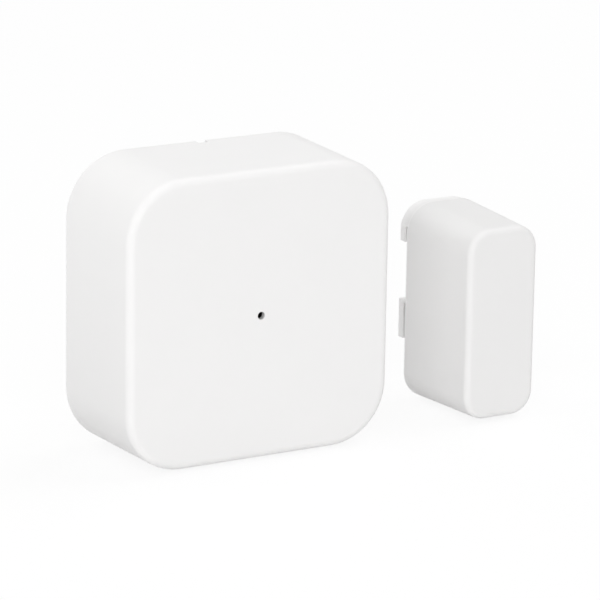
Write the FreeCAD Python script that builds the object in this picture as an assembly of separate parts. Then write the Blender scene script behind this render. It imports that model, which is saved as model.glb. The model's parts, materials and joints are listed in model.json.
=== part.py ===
import FreeCAD, Part
import math
import os

V = FreeCAD.Vector

# Door sensor: a sensor unit, and a magnet unit to its right.
# Millimetres and degrees. X points right, Y points back towards the door frame, Z points up.
# The origin is the centre of the rear face of the adhesive pad.
# The hooks' rear faces lie in the plane of the pad's, and both units stand on one level.

# Sensor shell, measured at its front
sensor_width = 50.0
sensor_height = 50.0
sensor_depth = 21.9
sensor_corner_radius = 10.45
sensor_front_fillet = 1.4
sensor_draft = 1.18
sensor_wall = 1.6
sensor_front_wall = 1.6
pinhole_radius = 0.65
pinhole_wall = 1.0
snoot_bore = 2.4
snoot_wall = 0.7
snoot_led_gap = 0.4
notch_width = 1.8
notch_depth = 1.3

# Back cover of the sensor, and the tongues that hold it by friction
cover_thickness = 1.8
cover_lip_wall = 0.9
cover_gap = 0.2
rib_height = 1.5
rib_thickness = 1.0
rib_length = 24.0
rib_gap = 0.3
tongue_width = 4.0
tongue_thickness = 1.2
tongue_engagement = 5.0
tongue_clearance = 0.07
tongue_spacing = 14.0
tongue_tip_chamfer = 0.3
tongue_wall_gap = 1.0
socket_wall = 1.0
socket_sink = 0.5
socket_rib_gap = 0.3
socket_spare = 0.5
undercut_width = 2.6
undercut_depth = 0.9
undercut_reach = 0.8
pad_width = 44.0
pad_height = 44.0
pad_corner_radius = 8.0
pad_thickness = 1.0

# Circuit board and its screws
board_standoff = 6.8
board_thickness = 1.2
board_gap = 0.5
bay_gap = 0.4
screw_edge_x = 4.9
screw_edge_z = 4.7
boss_radius = 2.1
rest_size = 3.0
screw_core_radius = 0.8
screw_core_clearance = 0.02
screw_hole_radius = 1.1
screw_length = 6.0
screw_head_radius = 1.9
screw_head_height = 1.3
pilot_spare = 0.5

# Cell and its contacts
cell_diameter = 14.5
cell_length = 25.0
cap_radius = 2.6
cap_height = 1.2
cell_side_room = 2.6
cell_cover_gap = 0.7
saddle_clearance = 0.15
saddle_thickness = 1.4
saddle_spacing = 14.0
saddle_horn = 1.0
saddle_below_axis = 2.0
cover_rib_gap = 0.35
cover_rib_width = 8.0
contact_thickness = 0.4
contact_width = 4.0
contact_gap = 0.05
contact_touch = 0.02
contact_reach = 5.0
contact_bow = 1.6
contact_foot = 2.2
contact_wall_thickness = 1.4
contact_wall_width = 9.0
contact_wall_rise = 3.0

# Reed switch
reed_radius = 1.1
reed_length = 14.0
reed_bore_radius = 0.75
reed_end_glass = 1.5
reed_edge_room = 2.8
reed_lift = 0.3
lead_thickness = 0.25
lead_width = 0.9
lead_overlap = 2.0
lead_gap = 0.15
lead_run = 2.5
lead_foot = 1.2

# Radio module and antenna
radio_reed_gap = 4.0
radio_width = 13.0
radio_height = 15.0
radio_board_thickness = 0.8
shield_width = 11.0
shield_height = 11.0
shield_rise = 1.8
shield_sheet = 0.2
antenna_edge_gap = 5.3
antenna_radio_gap = 1.1
antenna_shift = -2.7
antenna_length = 15.0
antenna_rise = 4.0
antenna_bar = 1.2
antenna_feed_offset = 3.4
antenna_sheet = 0.4

# Controller, capacitor and small parts
chip_bay_gap = 5.0
chip_z = -4.4
chip_size = 5.0
chip_height = 0.9
chip_corner_chamfer = 0.6
can_reed_gap = 3.1
can_z = -13.6
can_radius = 3.15
can_height = 5.4
can_base_size = 6.6
can_base_height = 0.9
can_base_chamfer = 1.2
passive_length = 1.6
passive_width = 0.8
passive_height = 0.6
passive_pitch = 2.2
passive_row_z = -8.9
passive_row_count = 4
passive_bay_gap = 0.5
passive_column_z = 3.0
passive_column_count = 5

# Light behind the pinhole
led_width = 2.0
led_height = 1.2
led_base = 0.5
led_lens_width = 1.2
led_lens_depth = 0.9
led_lens_height = 0.4

# Push switches
switch_size = 6.0
switch_rise = 3.5
switch_wall = 0.6
plunger_radius = 1.6
plunger_clearance = 0.08
flange_size = 4.2
flange_thickness = 0.5
flange_gap = 0.06
flange_side_gap = 0.1
tamper_reed_gap = 2.6
tamper_z = -4.2
tamper_travel = 1.2
tamper_proud = 0.6
post_size = 3.0
post_gap = 0.05
pairing_bay_gap = 1.2
pairing_z = -14.2
pairing_travel = 0.25
pairing_proud = 1.5

# Magnet unit, measured at its front
unit_gap = 16.5
magnet_unit_width = 13.9
magnet_unit_height = 34.0
magnet_unit_depth = 19.5
magnet_unit_radius = 4.2
magnet_unit_fillet = 1.1
magnet_unit_draft = 2.35
magnet_wall = 1.5
magnet_front_wall = 1.6
magnet_lip_wall = 0.8
plug_thickness = 1.6
plug_gap = 0.1
bar_width = 6.0
bar_depth = 6.0
bar_length = 25.0
bar_chamfer = 0.4
bar_gap = 0.1
bar_offset = 2.0
cradle_thickness = 1.4
cradle_spacing = 17.0
cradle_sink = 0.5
bar_post_size = 2.6
bar_post_spacing = 14.0
bar_post_gap = 0.05

# Hang-on hooks at the back of the magnet unit
hook_rise = 2.7
hook_inset = 0.25
hook_band = 3.0
hook_chamfer = 0.2
groove_width = 1.0
groove_depth = 1.5
upper_hook_bottom = 10.7
upper_groove_length = 2.8
lower_hook_top = 0.1
lower_hook_bottom = -6.9
lower_hook_cap = 0.5

# Depths, from the front of both units to the pad
rear_y = -pad_thickness
front_y = rear_y - sensor_depth
inner_y = front_y + sensor_front_wall
cover_inner_y = rear_y - cover_thickness
board_front_y = inner_y + board_standoff
board_rear_y = board_front_y + board_thickness
socket_end_y = cover_inner_y - rib_height - socket_rib_gap
hook_rear_y = 0.0
magnet_rear_y = hook_rear_y - hook_rise
magnet_front_y = magnet_rear_y - magnet_unit_depth
magnet_inner_y = magnet_front_y + magnet_front_wall
plug_inner_y = magnet_rear_y - plug_thickness


def spread(depth, draft):
    """How far a drafted side moves outwards over a depth."""
    return depth * math.tan(math.radians(draft))


# Places that follow from the sizes
sensor = {
    "centre": (0.0, 0.0),
    "width": sensor_width,
    "height": sensor_height,
    "radius": sensor_corner_radius,
    "draft": sensor_draft,
    "front": front_y,
    "rear": rear_y,
}
sensor_spread = spread(sensor_depth, sensor_draft)
magnet_spread = spread(magnet_unit_depth, magnet_unit_draft)
magnet_x = sensor_width / 2 + unit_gap + magnet_unit_width / 2
magnet_z = magnet_unit_height / 2 + magnet_spread - sensor_height / 2 - sensor_spread
magnet_unit = {
    "centre": (magnet_x, magnet_z),
    "width": magnet_unit_width,
    "height": magnet_unit_height,
    "radius": magnet_unit_radius,
    "draft": magnet_unit_draft,
    "front": magnet_front_y,
    "rear": magnet_rear_y,
}
cell_radius = cell_diameter / 2
cell_x = -(sensor_width / 2 - sensor_wall) + cell_side_room + cell_radius
cell_y = cover_inner_y - cell_cover_gap - cell_radius
saddle_half = cell_radius + saddle_horn
contact_wall_top = cell_y + contact_wall_rise
pos_wall_z = cell_length / 2 + contact_touch + contact_thickness + contact_gap
neg_wall_z = pos_wall_z + contact_bow
board_half_x = sensor_width / 2 - sensor_wall - board_gap
board_half_z = sensor_height / 2 - sensor_wall - board_gap
board_radius = sensor_corner_radius - sensor_wall - board_gap
bay_right = cell_x + saddle_half + bay_gap
bay_top = pos_wall_z + contact_wall_thickness + bay_gap
bay_bottom = -(neg_wall_z + contact_wall_thickness + bay_gap)
tongue_z = sensor_height / 2 - sensor_wall - tongue_wall_gap - tongue_thickness / 2
reed_x = board_half_x - reed_edge_room
reed_y = board_rear_y + reed_lift + reed_radius
reed_left = reed_x - reed_radius
radio_x = reed_left - radio_reed_gap - radio_width / 2
antenna_x = radio_x + antenna_shift
antenna_z = board_half_z - antenna_edge_gap
radio_z = antenna_z - antenna_radio_gap - radio_height / 2
chip_x = bay_right + chip_bay_gap + chip_size / 2
can_x = reed_left - can_reed_gap - can_base_size / 2
tamper_x = reed_left - tamper_reed_gap - switch_size / 2
pairing_x = bay_right + pairing_bay_gap + switch_size / 2
passive_row_x = chip_x - chip_size / 2 + passive_length / 2
passive_column_x = bay_right + passive_bay_gap + passive_width / 2
switch_top_y = board_rear_y + switch_rise
switch_roof_y = switch_top_y - switch_wall
tamper_tip_y = switch_top_y + tamper_proud
pairing_tip_y = switch_top_y + pairing_proud
bar_x = magnet_x - bar_offset
screw_x = board_half_x - screw_edge_x
screw_z = board_half_z - screw_edge_z
screw_places = [(-screw_x, screw_z), (screw_x, -screw_z)]
rest_places = [(screw_x, screw_z), (-screw_x, -screw_z)]
tongue_places = [
    (side_x * tongue_spacing / 2, side_z * tongue_z)
    for side_x in (-1, 1)
    for side_z in (-1, 1)
]


def rounded_outline(width, height, radius, y, centre=(0.0, 0.0)):
    """Closed wire of a rounded rectangle at the depth y."""
    corners = []
    for side_x, side_z, start in ((1, 1, 0), (-1, 1, 90), (-1, -1, 180), (1, -1, 270)):
        middle_x = centre[0] + side_x * (width / 2 - radius)
        middle_z = centre[1] + side_z * (height / 2 - radius)
        corner = []
        for turn in (0, 45, 90):
            angle = math.radians(start + turn)
            x = middle_x + radius * math.cos(angle)
            z = middle_z + radius * math.sin(angle)
            corner.append(V(x, y, z))
        corners.append(corner)
    edges = []
    for corner, following in zip(corners, corners[1:] + corners[:1]):
        edges.append(Part.Arc(*corner).toShape())
        edges.append(Part.LineSegment(corner[2], following[0]).toShape())
    return Part.Wire(edges)


def unit_outline(unit, outwards, y):
    """Outline of a unit at y, with its sides moved outwards from those at the front."""
    width = unit["width"] + 2 * outwards
    height = unit["height"] + 2 * outwards
    return rounded_outline(width, height, unit["radius"] + outwards, y, unit["centre"])


def moulded_block(unit):
    """Block with the unit's drafted sides."""
    outwards = spread(unit["rear"] - unit["front"], unit["draft"])
    front = unit_outline(unit, 0, unit["front"])
    rear = unit_outline(unit, outwards, unit["rear"])
    return Part.makeLoft([front, rear], True, True)


def straight_block(unit, start, end, inset):
    """Block with straight sides, inset from the unit's outline at the front."""
    outline = unit_outline(unit, -inset, start)
    return Part.Face(outline).extrude(V(0, end - start, 0))


def rear_plate(unit, start, end, inset):
    """Straight plate inset from the unit's rear edge."""
    outwards = spread(unit["rear"] - unit["front"], unit["draft"])
    outline = unit_outline(unit, outwards - inset, start)
    return Part.Face(outline).extrude(V(0, end - start, 0))


def edges_at(shape, y):
    """Edges that lie wholly at the depth y."""
    found = []
    for edge in shape.Edges:
        depths = [vertex.Point.y for vertex in edge.Vertexes] + [edge.CenterOfMass.y]
        if all(abs(depth - y) < 1e-5 for depth in depths):
            found.append(edge)
    return found


def block(x, y, z):
    """Box between two limits along each axis."""
    return Part.makeBox(x[1] - x[0], y[1] - y[0], z[1] - z[0], V(x[0], y[0], z[0]))


def rod(x, z, radius, start, end):
    """Round rod along Y."""
    return Part.makeCylinder(radius, end - start, V(x, start, z), V(0, 1, 0))


def upright(x, y, radius, start, end):
    """Round rod along Z."""
    return Part.makeCylinder(radius, end - start, V(x, y, start), V(0, 0, 1))


def along_y(shape, x, z):
    """Edges parallel to Y through the given corner places."""
    found = []
    for edge in shape.Edges:
        ends = [vertex.Point for vertex in edge.Vertexes]
        if len(ends) == 2 and (ends[0] - ends[1]).cross(V(0, 1, 0)).Length < 1e-6:
            if any(abs(ends[0].x - at) < 1e-5 for at in x) and any(abs(ends[0].z - at) < 1e-5 for at in z):
                found.append(edge)
    return found


def square_rod(x, z, width, height, start, end):
    """Rectangular rod along Y, centred at x and z."""
    return block((x - width / 2, x + width / 2), (start, end), (z - height / 2, z + height / 2))


def save(node, shape):
    shape.exportStep(os.path.join("parts", node + ".step"))


def make_shell(unit, wall, front_wall, front_fillet, lip_wall, seat_y):
    """Moulded shell of a unit, open at the back, with a seat for its rear plate."""
    front = unit["front"]
    beyond = unit["rear"] + 1
    shell = moulded_block(unit)
    shell = shell.makeFillet(front_fillet, edges_at(shell, front))
    cavity = straight_block(unit, front + front_wall, beyond, wall)
    seat = rear_plate(unit, seat_y, beyond, lip_wall)
    return shell.cut([cavity, seat])


def make_contact_wall(side, wall_z):
    """Wall across the end of the cell that a contact is clipped over."""
    x = (cell_x - contact_wall_width / 2, cell_x + contact_wall_width / 2)
    z = sorted((side * wall_z, side * (wall_z + contact_wall_thickness)))
    return block(x, (inner_y, contact_wall_top), z)


def make_saddle(z):
    """Rib with a round seat that the cell lies in."""
    sides_x = (cell_x - saddle_half, cell_x + saddle_half)
    sides_z = (z - saddle_thickness / 2, z + saddle_thickness / 2)
    rib = block(sides_x, (inner_y, cell_y - saddle_below_axis), sides_z)
    seat = upright(cell_x, cell_y, cell_radius + saddle_clearance, *sides_z)
    return rib.cut(seat)


def socket_limits(x, z, margin):
    """Limits along X and Z of the socket round a tongue, which reaches into the wall beyond it."""
    half_x = tongue_width / 2 + tongue_clearance + socket_wall + margin
    inner_z = abs(z) - tongue_thickness / 2 - tongue_clearance - socket_wall - margin
    outer_z = sensor_height / 2 - sensor_wall + socket_sink
    side = math.copysign(1, z)
    return (x - half_x, x + half_x), sorted((side * inner_z, side * outer_z))


def make_sensor_housing():
    shell = make_shell(
        sensor, sensor_wall, sensor_front_wall, sensor_front_fillet, cover_lip_wall, cover_inner_y,
    )
    snoot_start = front_y + pinhole_wall
    snoot_end = board_front_y - led_base - led_lens_height - snoot_led_gap
    snoot_size = snoot_bore + 2 * snoot_wall
    added = [square_rod(0, 0, snoot_size, snoot_size, inner_y, snoot_end)]
    added += [rod(x, z, boss_radius, inner_y, board_front_y) for x, z in screw_places]
    added += [square_rod(x, z, rest_size, rest_size, inner_y, board_front_y) for x, z in rest_places]
    for place in tongue_places:
        sides_x, sides_z = socket_limits(*place, 0)
        added.append(block(sides_x, (inner_y, socket_end_y), sides_z))
    added += [make_saddle(side * saddle_spacing / 2) for side in (-1, 1)]
    added += [make_contact_wall(1, pos_wall_z), make_contact_wall(-1, neg_wall_z)]
    pilot_start = board_front_y - (screw_length - board_thickness) - pilot_spare
    pocket_start = socket_end_y - tongue_engagement - socket_spare
    pocket_width = tongue_width + 2 * tongue_clearance
    pocket_height = tongue_thickness + 2 * tongue_clearance
    rear_half_z = sensor_height / 2 + sensor_spread
    removed = [
        rod(0, 0, pinhole_radius, front_y - 1, snoot_end),
        square_rod(0, 0, snoot_bore, snoot_bore, snoot_start, snoot_end),
        block(
            (-notch_width / 2, notch_width / 2),
            (rear_y - notch_depth, rear_y + 1),
            (rear_half_z - cover_lip_wall - cover_gap, rear_half_z + 1),
        ),
    ]
    removed += [rod(x, z, screw_core_radius, pilot_start, board_front_y) for x, z in screw_places]
    for x, z in tongue_places:
        removed.append(square_rod(x, z, pocket_width, pocket_height, pocket_start, socket_end_y))
    return shell.fuse(added).cut(removed).removeSplitter()


def make_back_cover():
    """Flush rear plate with its locating ribs, tongues, cell ribs and the post over the tamper switch."""
    plate = rear_plate(sensor, cover_inner_y, rear_y, cover_lip_wall + cover_gap)
    rib_start = cover_inner_y - rib_height
    rib_x = sensor_width / 2 - sensor_wall - rib_gap - rib_thickness / 2
    rib_z = sensor_height / 2 - sensor_wall - rib_gap - rib_thickness / 2
    post_tip_y = tamper_tip_y + post_gap
    added = [square_rod(tamper_x, tamper_z, post_size, post_size, post_tip_y, cover_inner_y)]
    for side in (-1, 1):
        added.append(square_rod(side * rib_x, 0, rib_thickness, rib_length, rib_start, cover_inner_y))
        added.append(square_rod(0, side * rib_z, rib_length, rib_thickness, rib_start, cover_inner_y))
    for x, z in tongue_places:
        tip_y = socket_end_y - tongue_engagement
        tongue = square_rod(x, z, tongue_width, tongue_thickness, tip_y, cover_inner_y)
        added.append(tongue.makeChamfer(tongue_tip_chamfer, edges_at(tongue, tip_y)))
    for side in (-1, 1):
        middle_z = side * saddle_spacing / 2
        added.append(block(
            (cell_x - cover_rib_width / 2, cell_x + cover_rib_width / 2),
            (cell_y + cell_radius + cover_rib_gap, cover_inner_y),
            (middle_z - saddle_thickness / 2, middle_z + saddle_thickness / 2),
        ))
    edge_z = sensor_height / 2 + sensor_spread - cover_lip_wall - cover_gap
    undercut = block(
        (-undercut_width / 2, undercut_width / 2),
        (cover_inner_y, cover_inner_y + undercut_depth),
        (edge_z - undercut_reach, edge_z + 1),
    )
    return plate.fuse(added).cut(undercut).removeSplitter()


def make_adhesive_pad():
    outline = rounded_outline(pad_width, pad_height, pad_corner_radius, rear_y)
    return Part.Face(outline).extrude(V(0, pad_thickness, 0))


def make_circuit_board():
    """Board with a bay for the cell, notches round the sockets and holes for the screws."""
    outline = rounded_outline(2 * board_half_x, 2 * board_half_z, board_radius, board_front_y)
    board = Part.Face(outline).extrude(V(0, board_thickness, 0))
    through = (board_front_y - 1, board_rear_y + 1)
    removed = [block((-board_half_x - 1, bay_right), through, (bay_bottom, bay_top))]
    removed += [rod(x, z, screw_hole_radius, *through) for x, z in screw_places]
    for place in tongue_places:
        sides_x, sides_z = socket_limits(*place, board_gap)
        removed.append(block(sides_x, through, sides_z))
    return board.cut(removed)


def make_board_screws():
    """Cheese-head screws; their shanks are drawn at the core size of the thread."""
    screws = []
    for x, z in screw_places:
        head = rod(x, z, screw_head_radius, board_rear_y, board_rear_y + screw_head_height)
        radius = screw_core_radius - screw_core_clearance
        shank = rod(x, z, radius, board_rear_y - screw_length, board_rear_y)
        screws.append(head.fuse(shank))
    return Part.makeCompound(screws)


def make_battery_cell():
    return upright(cell_x, cell_y, cell_radius, -cell_length / 2, cell_length / 2 - cap_height)


def make_battery_cap():
    return upright(cell_x, cell_y, cap_radius, cell_length / 2 - cap_height, cell_length / 2)


def strip(points, thickness, width, middle_x):
    """Bent metal strip whose middle line runs through points given as (y, z)."""
    start_x = middle_x - width / 2
    pieces = []
    for (y0, z0), (y1, z1) in zip(points, points[1:]):
        length = math.hypot(y1 - y0, z1 - z0)
        out_y = (z0 - z1) / length * thickness / 2
        out_z = (y1 - y0) / length * thickness / 2
        corners = [(y0 + out_y, z0 + out_z), (y1 + out_y, z1 + out_z)]
        corners += [(y1 - out_y, z1 - out_z), (y0 - out_y, z0 - out_z)]
        loop = [V(start_x, y, z) for y, z in corners + corners[:1]]
        pieces.append(Part.Face(Part.makePolygon(loop)).extrude(V(width, 0, 0)))
    for y, z in points[1:-1]:
        pieces.append(Part.makeCylinder(thickness / 2, width, V(start_x, y, z), V(1, 0, 0)))
    return pieces[0].fuse(pieces[1:]).removeSplitter()


def make_contact(side, wall_z, bow):
    """Clip over an end wall, with one leg against the cell and a foot soldered to the board."""
    half = contact_thickness / 2
    inner_z = wall_z - contact_gap - half
    outer_z = wall_z + contact_wall_thickness + contact_gap + half
    top_y = contact_wall_top + contact_gap + half
    foot_y = board_rear_y + half
    path = [(cell_y - contact_reach, inner_z)]
    if bow:
        path.append((cell_y - contact_reach / 2, inner_z - bow))
        path.append((cell_y, inner_z))
    path += [(top_y, inner_z), (top_y, outer_z), (foot_y, outer_z), (foot_y, outer_z + contact_foot)]
    return strip([(y, side * z) for y, z in path], contact_thickness, contact_width, cell_x)


def make_reed_glass():
    """Glass tube with an inner chamber and a slot for each lead through its end."""
    half = reed_length / 2
    glass = upright(reed_x, reed_y, reed_radius, -half, half)
    removed = [upright(reed_x, reed_y, reed_bore_radius, -half + reed_end_glass, half - reed_end_glass)]
    for side in (-1, 1):
        lead_y = reed_y + side * (lead_gap + lead_thickness) / 2
        removed.append(block(
            (reed_x - lead_width / 2, reed_x + lead_width / 2),
            (lead_y - lead_thickness / 2, lead_y + lead_thickness / 2),
            sorted((0, side * half)),
        ))
    return glass.cut(removed)


def make_reed_leads():
    """Two flat leads that overlap inside the glass, bend down outside it and end in feet on the board."""
    bend_z = reed_length / 2 + lead_run
    foot_y = board_rear_y + lead_thickness / 2
    leads = []
    for side in (-1, 1):
        lead_y = reed_y + side * (lead_gap + lead_thickness) / 2
        path = [
            (lead_y, -side * lead_overlap / 2),
            (lead_y, side * bend_z),
            (foot_y, side * bend_z),
            (foot_y, side * (bend_z + lead_foot)),
        ]
        leads.append(strip(path, lead_thickness, lead_width, reed_x))
    return Part.makeCompound(leads)


def make_radio_board():
    y = (board_rear_y, board_rear_y + radio_board_thickness)
    x = (radio_x - radio_width / 2, radio_x + radio_width / 2)
    z = (radio_z - radio_height / 2, radio_z + radio_height / 2)
    return block(x, y, z)


def make_radio_shield():
    """Folded can, open towards the module's board."""
    base_y = board_rear_y + radio_board_thickness
    top_y = base_y + shield_rise
    inner_width = shield_width - 2 * shield_sheet
    inner_height = shield_height - 2 * shield_sheet
    can = square_rod(radio_x, radio_z, shield_width, shield_height, base_y, top_y)
    return can.cut(square_rod(radio_x, radio_z, inner_width, inner_height, base_y, top_y - shield_sheet))


def make_antenna():
    """Inverted F cut from sheet, standing on the board."""
    left = antenna_x - antenna_length / 2
    z = (antenna_z - antenna_sheet / 2, antenna_z + antenna_sheet / 2)
    top_y = board_rear_y + antenna_rise
    bar = block((left, left + antenna_length), (top_y - antenna_bar, top_y), z)
    legs = []
    for start in (left, left + antenna_feed_offset):
        legs.append(block((start, start + antenna_bar), (board_rear_y, top_y), z))
    return bar.fuse(legs).removeSplitter()


def make_main_chip():
    """Square chip with one corner cut to show which way round it goes."""
    half = chip_size / 2
    body = square_rod(chip_x, chip_z, chip_size, chip_size, board_rear_y, board_rear_y + chip_height)
    return body.makeChamfer(chip_corner_chamfer, along_y(body, [chip_x - half], [chip_z + half]))


def make_buffer_capacitor():
    half = can_base_size / 2
    base_top = board_rear_y + can_base_height
    sides_x = (can_x - half, can_x + half)
    sides_z = (can_z - half, can_z + half)
    base = block(sides_x, (board_rear_y, base_top), sides_z)
    base = base.makeChamfer(can_base_chamfer, along_y(base, sides_x, sides_z[:1]))
    return base.fuse(rod(can_x, can_z, can_radius, base_top, base_top + can_height))


def make_board_passives():
    """A row of chips under the controller and a column of them beside the bay."""
    top_y = board_rear_y + passive_height
    chips = []
    for index in range(passive_row_count):
        x = passive_row_x + index * passive_pitch
        chips.append(square_rod(x, passive_row_z, passive_length, passive_width, board_rear_y, top_y))
    for index in range(passive_column_count):
        z = passive_column_z + index * passive_pitch
        chips.append(square_rod(passive_column_x, z, passive_width, passive_length, board_rear_y, top_y))
    return Part.makeCompound(chips)


def make_status_led():
    base_y = board_front_y - led_base
    base = square_rod(0, 0, led_width, led_height, base_y, board_front_y)
    return base.fuse(square_rod(0, 0, led_lens_width, led_lens_depth, base_y - led_lens_height, base_y))


def make_switch_body(x, z):
    """Hollow square body with a round hole in its rear face for the plunger."""
    inside = flange_size + 2 * flange_side_gap
    body = square_rod(x, z, switch_size, switch_size, board_rear_y, switch_top_y)
    chamber = square_rod(x, z, inside, inside, board_rear_y + switch_wall, switch_roof_y)
    return body.cut([chamber, rod(x, z, plunger_radius + plunger_clearance, switch_roof_y, switch_top_y)])


def make_plunger(x, z, tip_y, flange_end_y):
    """Round plunger with the square flange that keeps it in the switch."""
    flange = square_rod(x, z, flange_size, flange_size, flange_end_y - flange_thickness, flange_end_y)
    return flange.fuse(rod(x, z, plunger_radius, flange_end_y, tip_y))


def make_magnet_housing():
    shell = make_shell(
        magnet_unit, magnet_wall, magnet_front_wall, magnet_unit_fillet, magnet_lip_wall, plug_inner_y,
    )
    half_span = magnet_unit_width / 2 - magnet_wall + cradle_sink
    span = (magnet_x - half_span, magnet_x + half_span)
    half_thickness = cradle_thickness / 2
    bar_top_y = reed_y + bar_depth / 2
    ribs = []
    for offset in (-cradle_spacing / 2, cradle_spacing / 2):
        z = (magnet_z + offset - half_thickness, magnet_z + offset + half_thickness)
        rib = block(span, (magnet_inner_y, bar_top_y), z)
        half_slot = bar_width / 2 + bar_gap
        slot_y = (reed_y - bar_depth / 2, bar_top_y)
        ribs.append(rib.cut(block((bar_x - half_slot, bar_x + half_slot), slot_y, z)))
    stop_middle = bar_length / 2 + bar_gap + half_thickness
    for offset in (-stop_middle, stop_middle):
        z = (magnet_z + offset - half_thickness, magnet_z + offset + half_thickness)
        ribs.append(block(span, (magnet_inner_y, bar_top_y), z))
    return shell.fuse(ribs).removeSplitter()


def make_hook(ring, low_z, high_z, groove_low_z, groove_high_z):
    """Pair of hooks cut from the rear ring, each with a groove open to its side."""
    half = magnet_unit_width
    sides = (magnet_x - half, magnet_x + half)
    depths = (magnet_rear_y, hook_rear_y)
    hook = ring.common(block(sides, depths, (magnet_z + low_z, magnet_z + high_z)))
    hook = hook.makeChamfer(hook_chamfer, edges_at(hook, hook_rear_y))
    outer_half = magnet_unit_width / 2 + magnet_spread - hook_inset
    groove_y = (magnet_rear_y, magnet_rear_y + groove_width)
    groove_z = (magnet_z + groove_low_z, magnet_z + groove_high_z)
    grooves = []
    for side in (-1, 1):
        x = sorted((magnet_x + side * (outer_half - groove_depth), magnet_x + side * half))
        grooves.append(block(x, groove_y, groove_z))
    return hook.cut(grooves)


def make_magnet_back_cover():
    """Rear plate of the magnet unit with the hooks that hang it on its bracket."""
    plate = rear_plate(magnet_unit, plug_inner_y, magnet_rear_y, magnet_lip_wall + plug_gap)
    outer = unit_outline(magnet_unit, magnet_spread - hook_inset, magnet_rear_y)
    inner = unit_outline(magnet_unit, magnet_spread - hook_inset - hook_band, magnet_rear_y)
    rise = V(0, hook_rise, 0)
    ring = Part.Face(outer).extrude(rise).cut(Part.Face(inner).extrude(rise))
    beyond = magnet_unit_height / 2 + 1
    upper = make_hook(
        ring, upper_hook_bottom, beyond, upper_hook_bottom - 1, upper_hook_bottom + upper_groove_length,
    )
    lower = make_hook(
        ring, lower_hook_bottom, lower_hook_top, lower_hook_bottom - 1, lower_hook_top - lower_hook_cap,
    )
    bar_top_y = reed_y + bar_depth / 2
    posts = []
    for side in (-1, 1):
        z = magnet_z + side * bar_post_spacing / 2
        tip_y = bar_top_y + bar_post_gap
        posts.append(square_rod(bar_x, z, bar_post_size, bar_post_size, tip_y, plug_inner_y))
    return plate.fuse([upper, lower] + posts).removeSplitter()


def make_bar_magnet():
    x = (bar_x - bar_width / 2, bar_x + bar_width / 2)
    y = (reed_y - bar_depth / 2, reed_y + bar_depth / 2)
    z = (magnet_z - bar_length / 2, magnet_z + bar_length / 2)
    bar = block(x, y, z)
    return bar.makeChamfer(bar_chamfer, bar.Edges)


os.makedirs("parts", exist_ok=True)
save("sensor_housing", make_sensor_housing())
save("sensor_back_cover", make_back_cover())
save("sensor_adhesive_pad", make_adhesive_pad())
save("circuit_board", make_circuit_board())
save("board_screws", make_board_screws())
save("battery_cell", make_battery_cell())
save("battery_cap", make_battery_cap())
save("contact_positive", make_contact(1, pos_wall_z, 0.0))
save("contact_negative", make_contact(-1, neg_wall_z, contact_bow))
save("reed_glass", make_reed_glass())
save("reed_leads", make_reed_leads())
save("radio_board", make_radio_board())
save("radio_shield", make_radio_shield())
save("antenna", make_antenna())
save("main_chip", make_main_chip())
save("buffer_capacitor", make_buffer_capacitor())
save("board_passives", make_board_passives())
save("status_led", make_status_led())
save("tamper_switch_body", make_switch_body(tamper_x, tamper_z))
save("tamper_plunger", make_plunger(
    tamper_x, tamper_z, tamper_tip_y, switch_roof_y - flange_gap - tamper_travel,
))
save("pairing_switch_body", make_switch_body(pairing_x, pairing_z))
save("pairing_plunger", make_plunger(pairing_x, pairing_z, pairing_tip_y, switch_roof_y - flange_gap))
save("magnet_housing", make_magnet_housing())
save("magnet_back_cover", make_magnet_back_cover())
save("bar_magnet", make_bar_magnet())
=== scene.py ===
import json
import math

import bpy
from mathutils import Matrix, Vector


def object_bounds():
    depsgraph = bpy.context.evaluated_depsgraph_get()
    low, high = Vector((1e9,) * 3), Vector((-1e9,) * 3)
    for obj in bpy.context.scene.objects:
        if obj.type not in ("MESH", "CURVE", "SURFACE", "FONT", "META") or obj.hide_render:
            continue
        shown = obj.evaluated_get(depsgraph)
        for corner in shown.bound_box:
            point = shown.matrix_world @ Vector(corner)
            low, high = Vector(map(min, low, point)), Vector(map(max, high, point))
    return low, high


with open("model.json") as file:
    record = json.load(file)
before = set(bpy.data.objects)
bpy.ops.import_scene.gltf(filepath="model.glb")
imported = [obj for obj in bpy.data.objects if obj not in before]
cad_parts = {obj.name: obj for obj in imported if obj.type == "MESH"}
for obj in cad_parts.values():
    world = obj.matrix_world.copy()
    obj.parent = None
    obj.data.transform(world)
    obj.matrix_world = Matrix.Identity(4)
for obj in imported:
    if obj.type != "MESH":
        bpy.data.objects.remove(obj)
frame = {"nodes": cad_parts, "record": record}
cad_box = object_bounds()

MM = 0.001
WHITE = (1.0, 1.0, 1.0, 1.0)

# Camera of the photograph, fitted to the outlines of both units
CAMERA_YAW = math.radians(30.247)
CAMERA_PITCH = math.radians(15.367)
CAMERA_ROLL = math.radians(0.948)
CAMERA_PLACE = Vector((-322.03, -587.86, 181.55)) * MM
CAMERA_LENS = 242.586
CAMERA_SENSOR = 36.0
CAMERA_CLIP_START = 0.01

# Floor, and the even light of the world. The bounce is the floor's colour as the object sees it.
# The camera sees a white floor, and the white share is the part of it that takes no shadow.
FLOOR_SIZE = 6.0
FLOOR_DROP = 0.02 * MM
FLOOR_SEEN = 1.0
FLOOR_BOUNCE = 0.92
FLOOR_WHITE_SHARE = 0.88
FLOOR_ROUGHNESS = 0.9
AMBIENT = 0.3

# Soft lamps that shine at the origin: place, diameter and power
LAMPS = {
    "front": ((-0.42, -1.15, 0.57), 1.1, 5.3),
    "front_left": ((-0.87, -0.87, 0.57), 1.1, 5.3),
    "rear_left": ((-0.55, 0.78, 0.95), 1.1, 4.0),
    "right": ((0.68, 0.00, 1.17), 1.1, 7.7),
}

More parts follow.
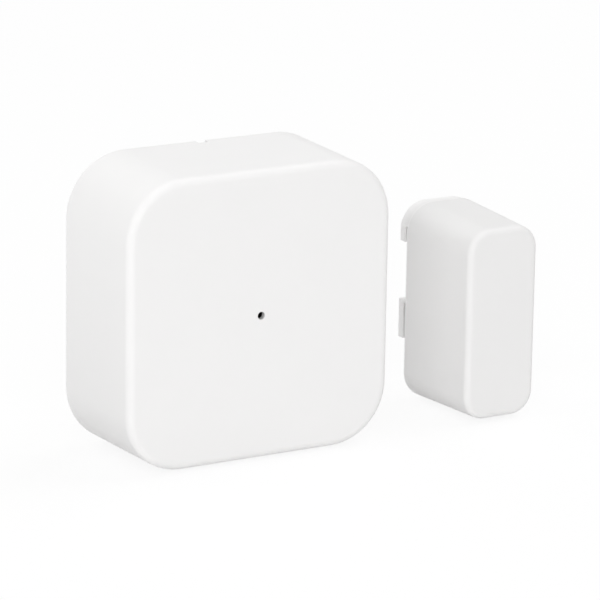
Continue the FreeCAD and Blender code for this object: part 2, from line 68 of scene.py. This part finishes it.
# Soft-edged spot on the upper part of the sensor's left side
SPOT_PLACE = Vector((-0.50, -0.05, 0.25))
SPOT_AIM = Vector((-0.025, -0.018, 0.036))
SPOT_ANGLE = math.radians(13)
SPOT_BLEND = 1.0
SPOT_SIZE = 0.03
SPOT_POWER = 1.3

# Shading of the solids, and the small rounding of the moulded pieces' edges
WELD_REACH = 0.0005 * MM
SMOOTH_ANGLE = math.radians(30)
SHARP_ANGLE = math.radians(50)
EDGE_ROUNDING = 0.1 * MM
EDGE_SEGMENTS = 3
FACE_WEIGHT = 100
MOULDED = ("sensor_housing", "sensor_back_cover", "magnet_housing", "magnet_back_cover")

# Linear colour and roughness of each moulded plastic and each metal
PLASTICS = {
    "shell_white": ((0.862, 0.857, 0.854), 0.58),
    "magnet_white": ((0.825, 0.820, 0.817), 0.58),
    "chip_black": ((0.02, 0.02, 0.022), 0.5),
    "ceramic_tan": ((0.30, 0.19, 0.10), 0.45),
    "lens_clear": ((0.75, 0.75, 0.66), 0.15),
    "plunger_grey": ((0.09, 0.09, 0.10), 0.45),
}
METALS = {
    "screw_steel": ((0.55, 0.55, 0.57), 0.3),
    "contact_nickel": ((0.62, 0.60, 0.55), 0.25),
    "can_aluminium": ((0.70, 0.70, 0.72), 0.35),
    "magnet_nickel": ((0.55, 0.54, 0.52), 0.22),
}

# Moulded plastic: faint cloudiness, uneven gloss and fine grain
CLOUD_SIZE = 9 * MM
CLOUD_DETAIL = 3.0
CLOUD_TONES = (0.985, 1.0)
GLOSS_SIZE = 4 * MM
GLOSS_DETAIL = 4.0
GLOSS_SPREAD = (-0.04, 0.04)
PLASTIC_SPECULAR = 0.25
GRAIN_SIZE = 0.14 * MM
GRAIN_DETAIL = 3.0
GRAIN_DEPTH = 0.004 * MM

# Metal: streaks that change fastest along X and are longest along Z
STREAK_SIZE = 0.5 * MM
STREAK_DETAIL = 2.0
STREAK_STRETCH = (1.0, 0.15, 0.04)
STREAK_TONES = (0.96, 1.02)
STREAK_SPREAD = (-0.02, 0.04)
STREAK_DEPTH = 0.0002 * MM

# Pinhole, with painted shade: reach of the painted shade round its axis, the depths of its
# mouth, of its inner end and of the board that closes the shroud behind it, and the share of the
# painted shade on its wall
# Painted shade: this near-black stands in for the shade inside the hole, not for the plastic's
# colour
HOLE_PAINTED_SHADE = (0.012, 0.012, 0.012, 1.0)
HOLE_SHADE_REACH = 1.75 * MM
HOLE_MOUTH = -22.87 * MM
HOLE_END = -21.95 * MM
SHROUD_END = -14.3 * MM
HOLE_WALL_SHADE_SHARE = 0.33

# Magnet unit: a painted highlight lifts the rear rim of its shell, and on its hooks painted
# shade next to the shell turns into a painted highlight towards their ends
RIM_HIGHLIGHT_DEPTHS = (-3.2 * MM, -2.95 * MM)
RIM_HIGHLIGHT_LIFTS = (1.0, 1.08)
HOOK_SHADE_DEPTHS = (-2.69 * MM, -0.3 * MM)
HOOK_SHADE_AND_HIGHLIGHT_LIFTS = (-0.06, 0.05)

# Foam tape
FOAM_CELL = 0.5 * MM
FOAM_TONES = ((0.66, 0.66, 0.64, 1.0), (0.74, 0.74, 0.72, 1.0))
FOAM_ROUGHNESS = 0.85
FOAM_DEPTH = 0.05 * MM

# Board: tracks under the mask, sized in shares of their scale, and round tinned pads
MASK_TONES = ((0.010, 0.085, 0.034, 1.0), (0.022, 0.15, 0.06, 1.0))
MASK_ROUGHNESS = 0.32
TRACK_SCALE = 9 * MM
TRACK_SETTINGS = {
    "Scale": 1.0 / TRACK_SCALE,
    "Mortar Size": 0.012,
    "Mortar Smooth": 0.2,
    "Brick Width": 1.6,
    "Row Height": 0.085,
}
TRACK_TURN = (math.radians(90), 0.0, 0.0)
TRACK_OFFSET = 0.37
TRACK_OFFSET_ROWS = 3
TRACK_DEPTH = 0.02 * MM
PAD_TONE = (0.55, 0.50, 0.38, 1.0)
PAD_SPACING = 2.6 * MM
PAD_SHARE = 0.13

# Cell: plastic sleeve that leaves both ends of the steel can bare
SLEEVE_TONES = ((0.019, 0.068, 0.050, 1.0), (0.024, 0.080, 0.060, 1.0))
SLEEVE_CLOUD = 3 * MM
SLEEVE_DETAIL = 3.0
CAN_TONE = (0.62, 0.62, 0.63, 1.0)
CELL_ROUGHNESS = 0.3
CELL_MIDDLE = -0.60 * MM
SLEEVE_HALF = 11.20 * MM

# Glass of the reed switch
GLASS_TONE = (0.72, 0.86, 0.78, 1.0)
GLASS_ROUGHNESS = 0.03
GLASS_IOR = 1.5


class Nodes:
    """A node tree, and short ways to add, set and join its nodes."""

    def __init__(self, tree):
        self.tree = tree

    def add(self, kind, **settings):
        node = self.tree.nodes.new(kind)
        for key, value in settings.items():
            setattr(node, key, value)
        return node

    def feed(self, value, socket):
        """Joins a node's output to the socket, or sets the socket to a fixed value."""
        if isinstance(value, bpy.types.NodeSocket):
            self.tree.links.new(value, socket)
        else:
            socket.default_value = value

    def math(self, operation, *terms):
        node = self.add("ShaderNodeMath", operation=operation)
        for index, term in enumerate(terms):
            self.feed(term, node.inputs[index])
        return node.outputs["Value"]

    def ramp(self, value, low, high, start=0.0, end=1.0):
        """Value that runs from low to high as the reading runs from start to end."""
        node = self.add("ShaderNodeMapRange")
        self.feed(value, node.inputs["Value"])
        limits = {"From Min": start, "From Max": end, "To Min": low, "To Max": high}
        for key, limit in limits.items():
            node.inputs[key].default_value = limit
        return node.outputs["Result"]

    def mix_shader(self, factor, first, second):
        node = self.add("ShaderNodeMixShader")
        for index, term in enumerate((factor, first, second)):
            self.feed(term, node.inputs[index])
        return node.outputs["Shader"]

    def seen_share(self):
        """1 for rays from the camera and from metal and glass, 0 for the rest."""
        path = self.add("ShaderNodeLightPath").outputs
        both = self.math("MAXIMUM", path["Is Camera Ray"], path["Is Glossy Ray"])
        return self.math("MAXIMUM", both, path["Is Transmission Ray"])


class Shader(Nodes):
    """A node material with the principled shader."""

    def __init__(self, name):
        self.material = bpy.data.materials.new(name)
        self.material.use_nodes = True
        super().__init__(self.material.node_tree)
        self.surface = self.tree.nodes["Principled BSDF"]

    def set(self, **values):
        """Feeds the principled shader's sockets, with _ in their names for a space."""
        for key, value in values.items():
            self.feed(value, self.surface.inputs[key.replace("_", " ")])

    def place(self):
        return self.add("ShaderNodeTexCoord").outputs["Object"]

    def mapped_place(self, **settings):
        """Place on the piece, turned or stretched by the settings."""
        node = self.add("ShaderNodeMapping")
        for key, value in settings.items():
            node.inputs[key].default_value = value
        self.feed(self.place(), node.inputs["Vector"])
        return node.outputs["Vector"]

    def axes(self):
        node = self.add("ShaderNodeSeparateXYZ")
        self.feed(self.place(), node.inputs["Vector"])
        return node.outputs["X"], node.outputs["Y"], node.outputs["Z"]

    def noise(self, size, detail, place=None):
        """Noise whose features are about size metres across."""
        node = self.add("ShaderNodeTexNoise")
        node.inputs["Scale"].default_value = 1.0 / size
        node.inputs["Detail"].default_value = detail
        self.feed(place or self.place(), node.inputs["Vector"])
        return node.outputs["Fac"]

    def spots(self, size):
        """Distance to the nearest of the points that are strewn about size metres apart."""
        node = self.add("ShaderNodeTexVoronoi")
        node.inputs["Scale"].default_value = 1.0 / size
        self.feed(self.place(), node.inputs["Vector"])
        return node.outputs["Distance"]

    def mix_colour(self, factor, low, high):
        node = self.add("ShaderNodeMix", data_type="RGBA")
        for key, value in (("Factor", factor), ("A", low), ("B", high)):
            self.feed(value, node.inputs[key])
        return node.outputs["Result"]

    def bump(self, height, depth):
        node = self.add("ShaderNodeBump")
        node.inputs["Distance"].default_value = depth
        self.feed(height, node.inputs["Height"])
        self.set(Normal=node.outputs["Normal"])


def tints(colour, factors):
    """The colour times each factor, with full opacity."""
    return [(*(channel * factor for channel in colour), 1.0) for factor in factors]


def spread_round(middle, spread):
    return middle + spread[0], middle + spread[1]


def paint_hole_shade(shader, colour):
    """Colour that turns dark with painted shade inside the pinhole and the shroud behind it."""
    x, y, z = shader.axes()
    square = shader.math("ADD", shader.math("MULTIPLY", x, x), shader.math("MULTIPLY", z, z))
    near = shader.math(
        "MULTIPLY",
        shader.math("LESS_THAN", square, HOLE_SHADE_REACH ** 2),
        shader.math("LESS_THAN", y, SHROUD_END),
    )
    shares = ((HOLE_MOUTH, HOLE_WALL_SHADE_SHARE), (HOLE_END, 1.0 - HOLE_WALL_SHADE_SHARE))
    wall, beyond = (
        shader.math("MULTIPLY", shader.math("GREATER_THAN", y, start), share)
        for start, share in shares
    )
    painted_shade_share = shader.math("MULTIPLY", near, shader.math("ADD", wall, beyond))
    return shader.mix_colour(painted_shade_share, colour, HOLE_PAINTED_SHADE)


def paint_rim_highlight_and_hook_shade(shader, colour):
    """Colour with a painted highlight at the rear rim of the magnet unit, and painted shade that
    turns into a painted highlight along its hooks.
    """
    y = shader.axes()[1]
    # Painted highlight behind the rim, and painted shade by the shell that grows into painted
    # highlight towards the hooks' ends
    painted_rim_lift = shader.ramp(y, *RIM_HIGHLIGHT_LIFTS, *RIM_HIGHLIGHT_DEPTHS)
    behind = shader.math("GREATER_THAN", y, HOOK_SHADE_DEPTHS[0])
    painted_hook_light_and_shade = shader.math("MULTIPLY", behind, shader.ramp(y, *HOOK_SHADE_AND_HIGHLIGHT_LIFTS, *HOOK_SHADE_DEPTHS))
    node = shader.add("ShaderNodeVectorMath", operation="SCALE")
    shader.feed(colour, node.inputs["Vector"])
    shader.feed(shader.math("ADD", painted_rim_lift, painted_hook_light_and_shade), node.inputs["Scale"])
    return node.outputs["Vector"]


# Painted shade in the sensor's pinhole, and painted highlight and shade at the magnet unit's
# rear
PAINTED_LIGHT_AND_SHADE = {"shell_white": paint_hole_shade, "magnet_white": paint_rim_highlight_and_hook_shade}


def moulded_plastic(name, colour, roughness):
    """Fine matt moulded plastic: faint cloudiness, uneven gloss and a spark-eroded grain."""
    shader = Shader(name)
    cloud = shader.noise(CLOUD_SIZE, CLOUD_DETAIL)
    tone = shader.mix_colour(cloud, *tints(colour, CLOUD_TONES))
    # Here the sensor and magnet plastics take their painted shade and painted highlights
    if name in PAINTED_LIGHT_AND_SHADE:
        tone = PAINTED_LIGHT_AND_SHADE[name](shader, tone)
    gloss = shader.noise(GLOSS_SIZE, GLOSS_DETAIL)
    shader.set(
        Base_Color=tone,
        Roughness=shader.ramp(gloss, *spread_round(roughness, GLOSS_SPREAD)),
        Specular_IOR_Level=PLASTIC_SPECULAR,
    )
    shader.bump(shader.noise(GRAIN_SIZE, GRAIN_DETAIL), GRAIN_DEPTH)
    return shader.material


def metal(name, colour, roughness):
    """Plated or drawn metal with long, faint streaks."""
    shader = Shader(name)
    place = shader.mapped_place(Scale=STREAK_STRETCH)
    streaks = shader.noise(STREAK_SIZE, STREAK_DETAIL, place)
    shader.set(
        Metallic=1.0,
        Base_Color=shader.mix_colour(streaks, *tints(colour, STREAK_TONES)),
        Roughness=shader.ramp(streaks, *spread_round(roughness, STREAK_SPREAD)),
    )
    shader.bump(streaks, STREAK_DEPTH)
    return shader.material


def foam_tape(name):
    """Foam tape: fine open cells and a dull surface."""
    shader = Shader(name)
    cells = shader.spots(FOAM_CELL)
    shader.set(Base_Color=shader.mix_colour(cells, *FOAM_TONES), Roughness=FOAM_ROUGHNESS)
    shader.bump(cells, FOAM_DEPTH)
    return shader.material


def solder_mask(name):
    """Green board with fine tracks under the mask and small tinned pads."""
    shader = Shader(name)
    bricks = shader.add(
        "ShaderNodeTexBrick", offset=TRACK_OFFSET, offset_frequency=TRACK_OFFSET_ROWS
    )
    for key, value in TRACK_SETTINGS.items():
        bricks.inputs[key].default_value = value
    shader.feed(shader.mapped_place(Rotation=TRACK_TURN), bricks.inputs["Vector"])
    tracks = bricks.outputs["Fac"]
    bare = shader.math("LESS_THAN", shader.spots(PAD_SPACING), PAD_SHARE)
    mask = shader.mix_colour(tracks, *MASK_TONES)
    shader.set(Base_Color=shader.mix_colour(bare, mask, PAD_TONE), Roughness=MASK_ROUGHNESS)
    shader.bump(tracks, TRACK_DEPTH)
    return shader.material


def cell_sleeve(name):
    """Dark plastic sleeve of the cell, which leaves both ends of the steel can bare."""
    shader = Shader(name)
    height = shader.axes()[2]
    from_middle = shader.math("ABSOLUTE", shader.math("SUBTRACT", height, CELL_MIDDLE))
    bare = shader.math("GREATER_THAN", from_middle, SLEEVE_HALF)
    cloud = shader.noise(SLEEVE_CLOUD, SLEEVE_DETAIL)
    sleeve = shader.mix_colour(cloud, *SLEEVE_TONES)
    shader.set(
        Base_Color=shader.mix_colour(bare, sleeve, CAN_TONE),
        Metallic=bare,
        Roughness=CELL_ROUGHNESS,
    )
    return shader.material


def glass(name):
    shader = Shader(name)
    shader.set(
        Base_Color=GLASS_TONE,
        Transmission_Weight=1.0,
        Roughness=GLASS_ROUGHNESS,
        IOR=GLASS_IOR,
    )
    return shader.material


MATERIALS = {
    **{name: moulded_plastic(name, *look) for name, look in PLASTICS.items()},
    **{name: metal(name, *look) for name, look in METALS.items()},
    "foam_pad": foam_tape("foam_pad"),
    "board_green": solder_mask("board_green"),
    "cell_sleeve": cell_sleeve("cell_sleeve"),
    "tube_glass": glass("tube_glass"),
}


def add_modifier(solid, kind, **settings):
    modifier = solid.modifiers.new(kind.lower(), kind)
    for key, value in settings.items():
        setattr(modifier, key, value)


def dress(node, slot):
    """Gives a solid its material, and smooth shading that keeps its flat faces flat."""
    solid = frame["nodes"][node]
    solid.data.materials.clear()
    solid.data.materials.append(MATERIALS[slot])
    solid.data.polygons.foreach_set("use_smooth", [True] * len(solid.data.polygons))
    add_modifier(solid, "WELD", merge_threshold=WELD_REACH)
    if node in MOULDED:
        add_modifier(
            solid,
            "BEVEL",
            limit_method="ANGLE",
            angle_limit=SHARP_ANGLE,
            width=EDGE_ROUNDING,
            segments=EDGE_SEGMENTS,
            use_clamp_overlap=False,
        )
    add_modifier(solid, "EDGE_SPLIT", split_angle=SMOOTH_ANGLE)
    add_modifier(solid, "WEIGHTED_NORMAL", keep_sharp=True, weight=FACE_WEIGHT)


def add_object(name, data, place=None, aim=None):
    """Adds an object to the scene; a lamp or spot also gets its place and what it shines at."""
    thing = bpy.data.objects.new(name, data)
    if place is not None:
        thing.location = place
        thing.rotation_euler = (aim - place).to_track_quat("-Z", "Y").to_euler()
    bpy.context.scene.collection.objects.link(thing)
    return thing


def add_camera():
    forward = Vector((
        math.sin(CAMERA_YAW) * math.cos(CAMERA_PITCH),
        math.cos(CAMERA_YAW) * math.cos(CAMERA_PITCH),
        -math.sin(CAMERA_PITCH),
    ))
    level = Vector((math.cos(CAMERA_YAW), -math.sin(CAMERA_YAW), 0.0))
    upright = level.cross(forward)
    right = math.cos(CAMERA_ROLL) * level + math.sin(CAMERA_ROLL) * upright
    up = -math.sin(CAMERA_ROLL) * level + math.cos(CAMERA_ROLL) * upright
    data = bpy.data.cameras.new("camera")
    data.lens = CAMERA_LENS
    data.sensor_width = CAMERA_SENSOR
    data.clip_start = CAMERA_CLIP_START
    camera = add_object("camera", data)
    turn = Matrix((right, up, -forward)).transposed()
    camera.matrix_world = Matrix.Translation(CAMERA_PLACE) @ turn.to_4x4()
    bpy.context.scene.camera = camera


def add_floor():
    level = cad_box[0][2] - FLOOR_DROP
    half = FLOOR_SIZE / 2
    mesh = bpy.data.meshes.new("floor")
    corners = [(-half, -half), (half, -half), (half, half), (-half, half)]
    mesh.from_pydata([(x, y, level) for x, y in corners], [], [(0, 1, 2, 3)])
    floor = add_object("floor", mesh)
    shader = Shader("floor")
    seen = shader.seen_share()
    shader.set(
        Base_Color=shader.ramp(seen, FLOOR_BOUNCE, FLOOR_SEEN),
        Roughness=FLOOR_ROUGHNESS,
    )
    surface = shader.mix_shader(
        shader.math("MULTIPLY", seen, FLOOR_WHITE_SHARE),
        shader.surface.outputs["BSDF"],
        shader.add("ShaderNodeEmission").outputs["Emission"],
    )
    shader.feed(surface, shader.tree.nodes["Material Output"].inputs["Surface"])
    mesh.materials.append(shader.material)


def add_world():
    """Even light on the object, and a white background."""
    world = bpy.data.worlds.new("studio")
    world.use_nodes = True
    nodes = Nodes(world.node_tree)
    ambient = nodes.tree.nodes["Background"]
    ambient.inputs["Color"].default_value = WHITE
    ambient.inputs["Strength"].default_value = AMBIENT
    white = nodes.add("ShaderNodeBackground")
    white.inputs["Color"].default_value = WHITE
    light = nodes.mix_shader(
        nodes.seen_share(), ambient.outputs["Background"], white.outputs["Background"]
    )
    nodes.feed(light, nodes.tree.nodes["World Output"].inputs["Surface"])
    bpy.context.scene.world = world


def add_lamp(name, place, size, power):
    """Round soft lamp that shines at the origin."""
    data = bpy.data.lights.new(name, "AREA")
    data.shape = "DISK"
    data.size = size
    data.energy = power
    add_object(name, data, Vector(place), Vector())


def add_spot():
    data = bpy.data.lights.new("spot", "SPOT")
    data.spot_size = SPOT_ANGLE
    data.spot_blend = SPOT_BLEND
    data.shadow_soft_size = SPOT_SIZE
    data.energy = SPOT_POWER
    add_object("spot", data, SPOT_PLACE, SPOT_AIM)


for part in frame["record"]["subparts"]:
    dress(part["node"], part["material_slot"])
add_camera()
add_floor()
add_world()
for lamp_name, lamp in LAMPS.items():
    add_lamp(lamp_name, *lamp)
add_spot()
bpy.context.scene.view_settings.view_transform = "Standard"
